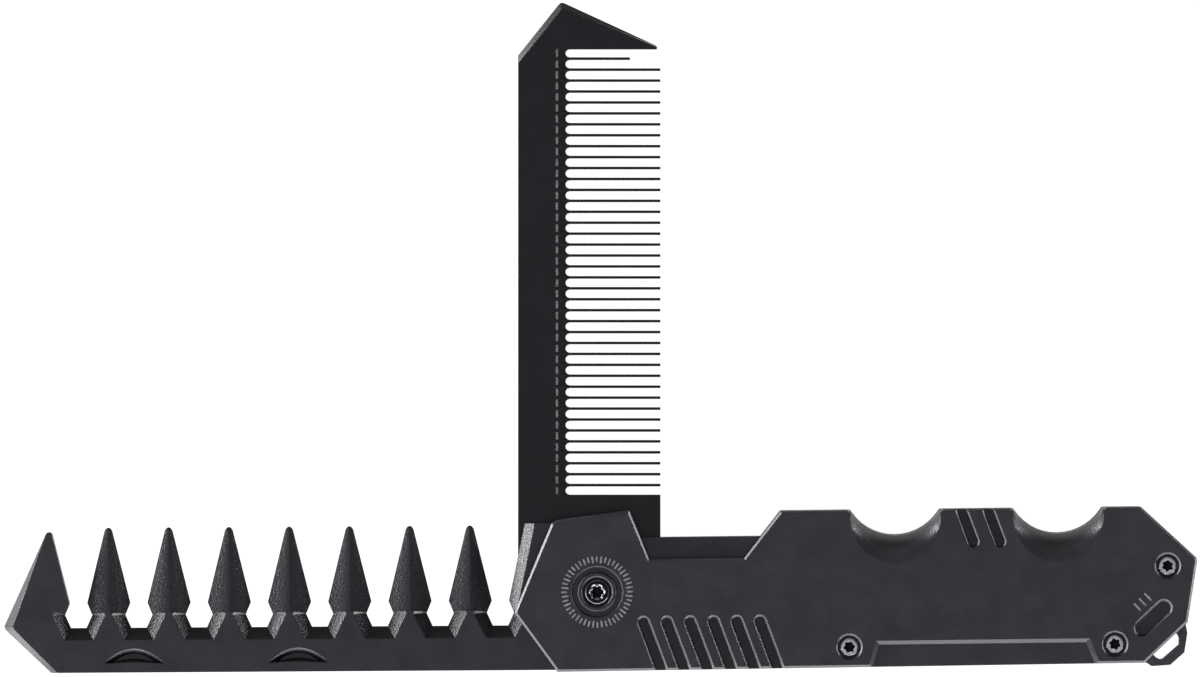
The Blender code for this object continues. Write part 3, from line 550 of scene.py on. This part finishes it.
def turned(rings, sides):
    """A closed turned solid: each ring is (radius, depth of its six lobes, height)."""
    bm = bmesh.new()
    bmesh.ops.create_circle(bm, cap_ends=True, segments=sides, radius=1.0)
    verts, edges = bm.verts[:], bm.edges[:]
    for i, (radius, lobe, height) in enumerate(rings):
        if i:
            grown = bmesh.ops.extrude_edge_only(bm, edges=edges)["geom"]
            verts = [item for item in grown if isinstance(item, bmesh.types.BMVert)]
            ring = set(verts)
            edges = [item for item in grown
                     if isinstance(item, bmesh.types.BMEdge) and ring.issuperset(item.verts)]
        for vert in verts:
            turn = math.atan2(vert.co.y, vert.co.x)
            reach = radius * (1 + lobe * math.cos(SOCKET_LOBES * turn))
            vert.co = (reach * math.cos(turn), reach * math.sin(turn), height)
    bmesh.ops.edgeloop_fill(bm, edges=edges)
    bmesh.ops.recalc_face_normals(bm, faces=bm.faces)
    return bm


def socket_head_rings(head_r, head_height, socket_r, socket_depth, edge_in, edge_drop, sink=0.0):
    """The rings of a socket head from the socket's floor out to its underside, its top at height 0.

    The head's edge is domed: it starts edge_in inside the head's radius and drops by edge_drop.
    A countersink as deep as sink leads into the socket.
    """
    mouth_r = 1.08 * socket_r
    dome = [
        (head_r - edge_in * (1 - math.sin(turn)), 0.0, edge_drop * (math.cos(turn) - 1))
        for turn in (math.radians(18 * step) for step in range(6))
    ]
    return [
        (0.35 * socket_r, 0.0, -socket_depth - 0.12 * MM),
        (0.86 * socket_r, LOBE_DEPTH, -socket_depth),
        (0.95 * socket_r, LOBE_DEPTH, -0.18 * MM - sink),
        (mouth_r, LOBE_DEPTH * 0.9, -sink),
        *([(mouth_r * (1 + LOBE_DEPTH) + sink, 0.0, 0.0)] if sink else []),
        *dome,
        (head_r, 0.0, -head_height),
    ]


def in_socket(face, socket_r):
    """A face inside the socket of a head that is still turned about Z with its top at height 0."""
    middle = face.calc_center_median()
    return middle.z < -0.1 * MM and middle.xy.length < socket_r


def harden_sharp(piece):
    """Shades a piece smooth, with its sharp edges hard."""
    piece.data.shade_smooth()
    piece.data.set_sharp_from_angle(angle=HARD_ANGLE)


class COMB_OT_scale_screws(bpy.types.Operator):
    """Make the six small screws with six-lobe sockets that hold the covers"""
    bl_idname = "folding_comb.scale_screws"
    bl_label = "Cover screws"

    def execute(self, context):
        colours = context.scene.folding_comb_colours
        # The handle's colour is the painted shade in the sockets
        steel = screw_steel("satin_screw_steel", colours.steel, colours.handle)
        head_height, shaft_r, tip = 1.0 * MM, 0.9 * MM, 0.2 * MM
        socket_r, socket_depth, edge_in, edge_drop = 0.92 * MM, 0.6 * MM, 0.35 * MM, 0.2 * MM
        for side, up in (("front", True), ("back", False)):
            for number in (1, 2, 3):
                node = f"screw_{side}_{number}"
                low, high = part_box(node)
                head_r, length = (high.x - low.x) / 2, high.z - low.z
                rings = socket_head_rings(head_r, head_height, socket_r, socket_depth, edge_in, edge_drop)
                rings += [(shaft_r, 0.0, -head_height), (shaft_r, 0.0, tip - length),
                          (shaft_r - tip, 0.0, -length)]
                bm = turned(rings, sides=72)
                # Painted shade: the socket's faces take the dark shade colour
                mark_faces(bm, "socket", lambda face: in_socket(face, socket_r))
                bmesh.ops.rotate(bm, verts=bm.verts, matrix=Matrix.Rotation(number * 0.4, 3, "Z"))
                if not up:
                    bmesh.ops.rotate(bm, verts=bm.verts, matrix=Matrix.Rotation(math.pi, 3, "X"))
                middle = (low + high) / 2
                bmesh.ops.translate(bm, verts=bm.verts, vec=(middle.x, middle.y, high.z if up else low.z))
                screw = new_piece(f"cover_screw_{side}_{number}", bm, steel, "handle")
                harden_sharp(screw)
                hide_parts(node)
        return {"FINISHED"}


class COMB_OT_pivot(bpy.types.Operator):
    """Make the pivot's socket screw and its barrel nut"""
    bl_idname = "folding_comb.pivot"
    bl_label = "Pivot"

    def execute(self, context):
        colours = context.scene.folding_comb_colours
        # The handle's colour is the painted shade on the pivot's head
        steel = screw_steel("blackened_pivot_steel", colours.dark_steel, colours.handle)
        low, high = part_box("pivot_screw")
        head_r, head_height, shaft_r = (high.x - low.x) / 2, 1.5 * MM, 1.3 * MM
        socket_r, socket_depth, edge_in, edge_drop, sink = 1.0 * MM, 0.9 * MM, 0.4 * MM, 0.35 * MM, 0.25 * MM
        rings = socket_head_rings(head_r, head_height, socket_r, socket_depth, edge_in, edge_drop, sink)
        rings += [(shaft_r, 0.0, -head_height), (shaft_r, 0.0, low.z - high.z)]
        bm = turned(rings, sides=96)
        # Painted shade: the socket and the head's level top take the dark shade colour
        mark_faces(bm, "socket", lambda face: face.normal.z > FLAT or in_socket(face, 1.1 * socket_r))
        bmesh.ops.translate(bm, verts=bm.verts, vec=(0, 0, high.z))
        screw = new_piece("pivot_socket_screw", bm, steel, "handle")
        harden_sharp(screw)
        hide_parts("pivot_screw")

        low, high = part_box("pivot_nut")
        flange_r, flange_height = (high.x - low.x) / 2, 1.2 * MM
        barrel_r, bore_r, bore_floor = 2.0 * MM, 1.4 * MM, 3.8 * MM
        edge = 0.15 * MM
        rings = [
            (bore_r, 0.0, bore_floor), (bore_r, 0.0, high.z), (barrel_r - edge, 0.0, high.z),
            (barrel_r, 0.0, high.z - edge), (barrel_r, 0.0, flange_height), (flange_r, 0.0, flange_height),
            (flange_r, 0.0, edge), (flange_r - edge, 0.0, 0.0),
        ]
        nut = new_piece("pivot_barrel_nut", turned(rings, sides=96), steel, "handle")
        harden_sharp(nut)
        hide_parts("pivot_nut")
        return {"FINISHED"}


def add_bar(bm, length, width, height, turn, place):
    """One raised bar with round ends, lying along X before it is turned and placed."""
    made = bmesh.ops.create_cube(bm, size=1.0)["verts"]
    bmesh.ops.scale(bm, verts=made, vec=(length, width, height))
    uprights = {edge for vert in made for edge in vert.link_edges
                if abs(edge.verts[0].co.z - edge.verts[1].co.z) > 0}
    rounded = bmesh.ops.bevel(bm, geom=list(uprights), offset=width * 0.45, affect="EDGES", segments=2,
                              profile=0.5, material=-1)
    verts = list({vert for face in rounded["faces"] for vert in face.verts})
    bmesh.ops.rotate(bm, verts=verts, cent=(0, 0, 0), matrix=Matrix.Rotation(turn, 3, "Z"))
    bmesh.ops.translate(bm, verts=verts, vec=place)


class COMB_OT_marks(bpy.types.Operator):
    """Print the ring of tick marks round the pivot and the three bars beside the round-ended recess"""
    bl_idname = "folding_comb.marks"
    bl_label = "Printed marks"

    def execute(self, context):
        sizes, colours = context.scene.folding_comb_sizes, context.scene.folding_comb_colours
        paint = pad_paint(colours.marks)
        face_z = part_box("front_scale")[1].z
        thick, width, stagger = 0.06 * MM, 0.34 * MM, 0.25 * MM
        height = face_z + 0.4 * thick  # of the marks' middles, so that a tenth of each is in the face
        bm = bmesh.new()
        for i in range(sizes.tick_count):
            turn = 2 * math.pi * i / sizes.tick_count
            inner = sizes.tick_inner + (0.0 if i % 2 else stagger)
            length, middle = sizes.tick_outer - inner, (sizes.tick_outer + inner) / 2
            place = (middle * math.cos(turn), middle * math.sin(turn), height)
            add_bar(bm, length, width, thick, turn, place)
        ring = new_piece("pivot_tick_ring", bm, paint, "handle")
        harden_sharp(ring)

        bm = bmesh.new()
        centre, along, spacing = Vector((100.8, -3.0)) * MM, math.radians(43), 1.35 * MM
        length, width = 1.9 * MM, 0.4 * MM
        for i in (-1, 0, 1):
            place = centre + i * spacing * Vector((math.cos(along), math.sin(along)))
            add_bar(bm, length, width, thick, along + math.pi / 2, (*place, height))
        bars = new_piece("three_bars", bm, paint, "handle")
        harden_sharp(bars)
        return {"FINISHED"}


def area_light(name, place, size, power, tint=(1.0, 1.0, 1.0)):
    """A soft light that the camera doesn't see, turned to the comb."""
    light = bpy.data.lights.new(name, "AREA")
    light.shape = "RECTANGLE"
    light.size, light.size_y = size
    light.energy = power
    light.color = tint
    lamp = bpy.data.objects.new(name, light)
    lamp.location = place
    lamp.rotation_euler = (Vector(AIM) - Vector(place)).to_track_quat("-Z", "Y").to_euler()
    lamp.visible_camera = False
    bpy.context.scene.collection.objects.link(lamp)


def around(azimuth, elevation, distance):
    """A place at this azimuth from +X and this elevation, both in degrees."""
    a, e = math.radians(azimuth), math.radians(elevation)
    return Vector((math.cos(a) * math.cos(e), math.sin(a) * math.cos(e), math.sin(e))) * distance


class COMB_OT_stage(bpy.types.Operator):
    """Set the light table, the soft boxes and the camera straight above"""
    bl_idname = "folding_comb.stage"
    bl_label = "Photo table"

    def execute(self, context):
        scene = context.scene
        sizes, colours = scene.folding_comb_sizes, scene.folding_comb_colours
        bm = bmesh.new()
        bmesh.ops.create_grid(bm, x_segments=1, y_segments=1, size=TABLE_REACH)
        bmesh.ops.translate(bm, verts=bm.verts, vec=(0, 0, -TABLE_DROP))
        mesh = bpy.data.meshes.new("table")
        bm.to_mesh(mesh)
        bm.free()
        mesh.materials.append(opal_acrylic(colours.table, colours.table_glow))
        table = bpy.data.objects.new("table", mesh)
        scene.collection.objects.link(table)

        world = bpy.data.worlds.new("studio")
        scene.world = world
        world.use_nodes = True
        world.node_tree.nodes["Background"].inputs["Color"].default_value = (1.0, 1.0, 1.0, 1.0)
        world.node_tree.nodes["Background"].inputs["Strength"].default_value = 0.12

        area_light("left_strip", around(161, 4, STRIP_DISTANCE), (1.15, 0.3), 50.0)
        area_light("right_strip", around(12, 3, STRIP_DISTANCE), (1.2, 0.26), 27.0)
        for side, azimuth in (("left", 205), ("middle", 255), ("right", 305)):
            area_light(f"front_{side}_strip", around(azimuth, 11, STRIP_DISTANCE), (1.1, 0.55), 24.0)
        for side, azimuth, power in (("left", 180, 0.8), ("right", 0, 0.6), ("back", 90, 2.4)):
            area_light(f"{side}_panel", around(azimuth, 50, PANEL_DISTANCE), (1.2, 1.0), power)
        area_light("ceiling_panel", (-0.3, -0.4, 3.6), (2.4, 2.2), 11.2, (0.9, 0.93, 1.05))

        camera = bpy.data.objects.new("camera", bpy.data.cameras.new("camera"))
        scene.collection.objects.link(camera)
        camera.data.sensor_width = SENSOR_WIDTH
        camera.data.lens = SENSOR_WIDTH * sizes.camera_height / (PHOTO_SIZE[0] * PHOTO_SCALE)
        camera.data.clip_end = 10.0
        camera.rotation_euler = Euler((0.0, 0.0, -PHOTO_TURN))
        across = (PHOTO_SIZE[0] / 2 - PIVOT_PIXEL[0]) * PHOTO_SCALE
        up = (PIVOT_PIXEL[1] - PHOTO_SIZE[1] / 2) * PHOTO_SCALE
        place = Vector((across, up, PHOTO_PLANE_Z + sizes.camera_height))
        place.rotate(camera.rotation_euler)
        camera.location = place
        scene.camera = camera
        scene.view_settings.view_transform = "Standard"
        return {"FINISHED"}


class COMB_PT_panel(bpy.types.Panel):
    bl_label = "Folding Comb"
    bl_idname = "COMB_PT_panel"
    bl_space_type = "VIEW_3D"
    bl_region_type = "UI"
    bl_category = "Folding Comb"

    def draw(self, context):
        for group in (context.scene.folding_comb_sizes, context.scene.folding_comb_colours):
            column = self.layout.column()
            for name in group.__annotations__:
                column.prop(group, name)
        column = self.layout.column()
        for operator in OPERATORS:
            column.operator(operator.bl_idname)


OPERATORS = (
    COMB_OT_stage, COMB_OT_covers, COMB_OT_liners, COMB_OT_wide_comb, COMB_OT_fine_comb, COMB_OT_scale_screws,
    COMB_OT_pivot, COMB_OT_marks,
)
CLASSES = (FoldingCombSizes, FoldingCombColours, *OPERATORS, COMB_PT_panel)


def register():
    for cls in CLASSES:
        bpy.utils.register_class(cls)
    bpy.types.Scene.folding_comb_sizes = bpy.props.PointerProperty(type=FoldingCombSizes)
    bpy.types.Scene.folding_comb_colours = bpy.props.PointerProperty(type=FoldingCombColours)


def unregister():
    del bpy.types.Scene.folding_comb_colours
    del bpy.types.Scene.folding_comb_sizes
    for cls in reversed(CLASSES):
        bpy.utils.unregister_class(cls)


def main():
    register()
    for operator in OPERATORS:
        getattr(bpy.ops.folding_comb, operator.bl_idname.split(".")[1])()


if __name__ == "__main__":
    main()
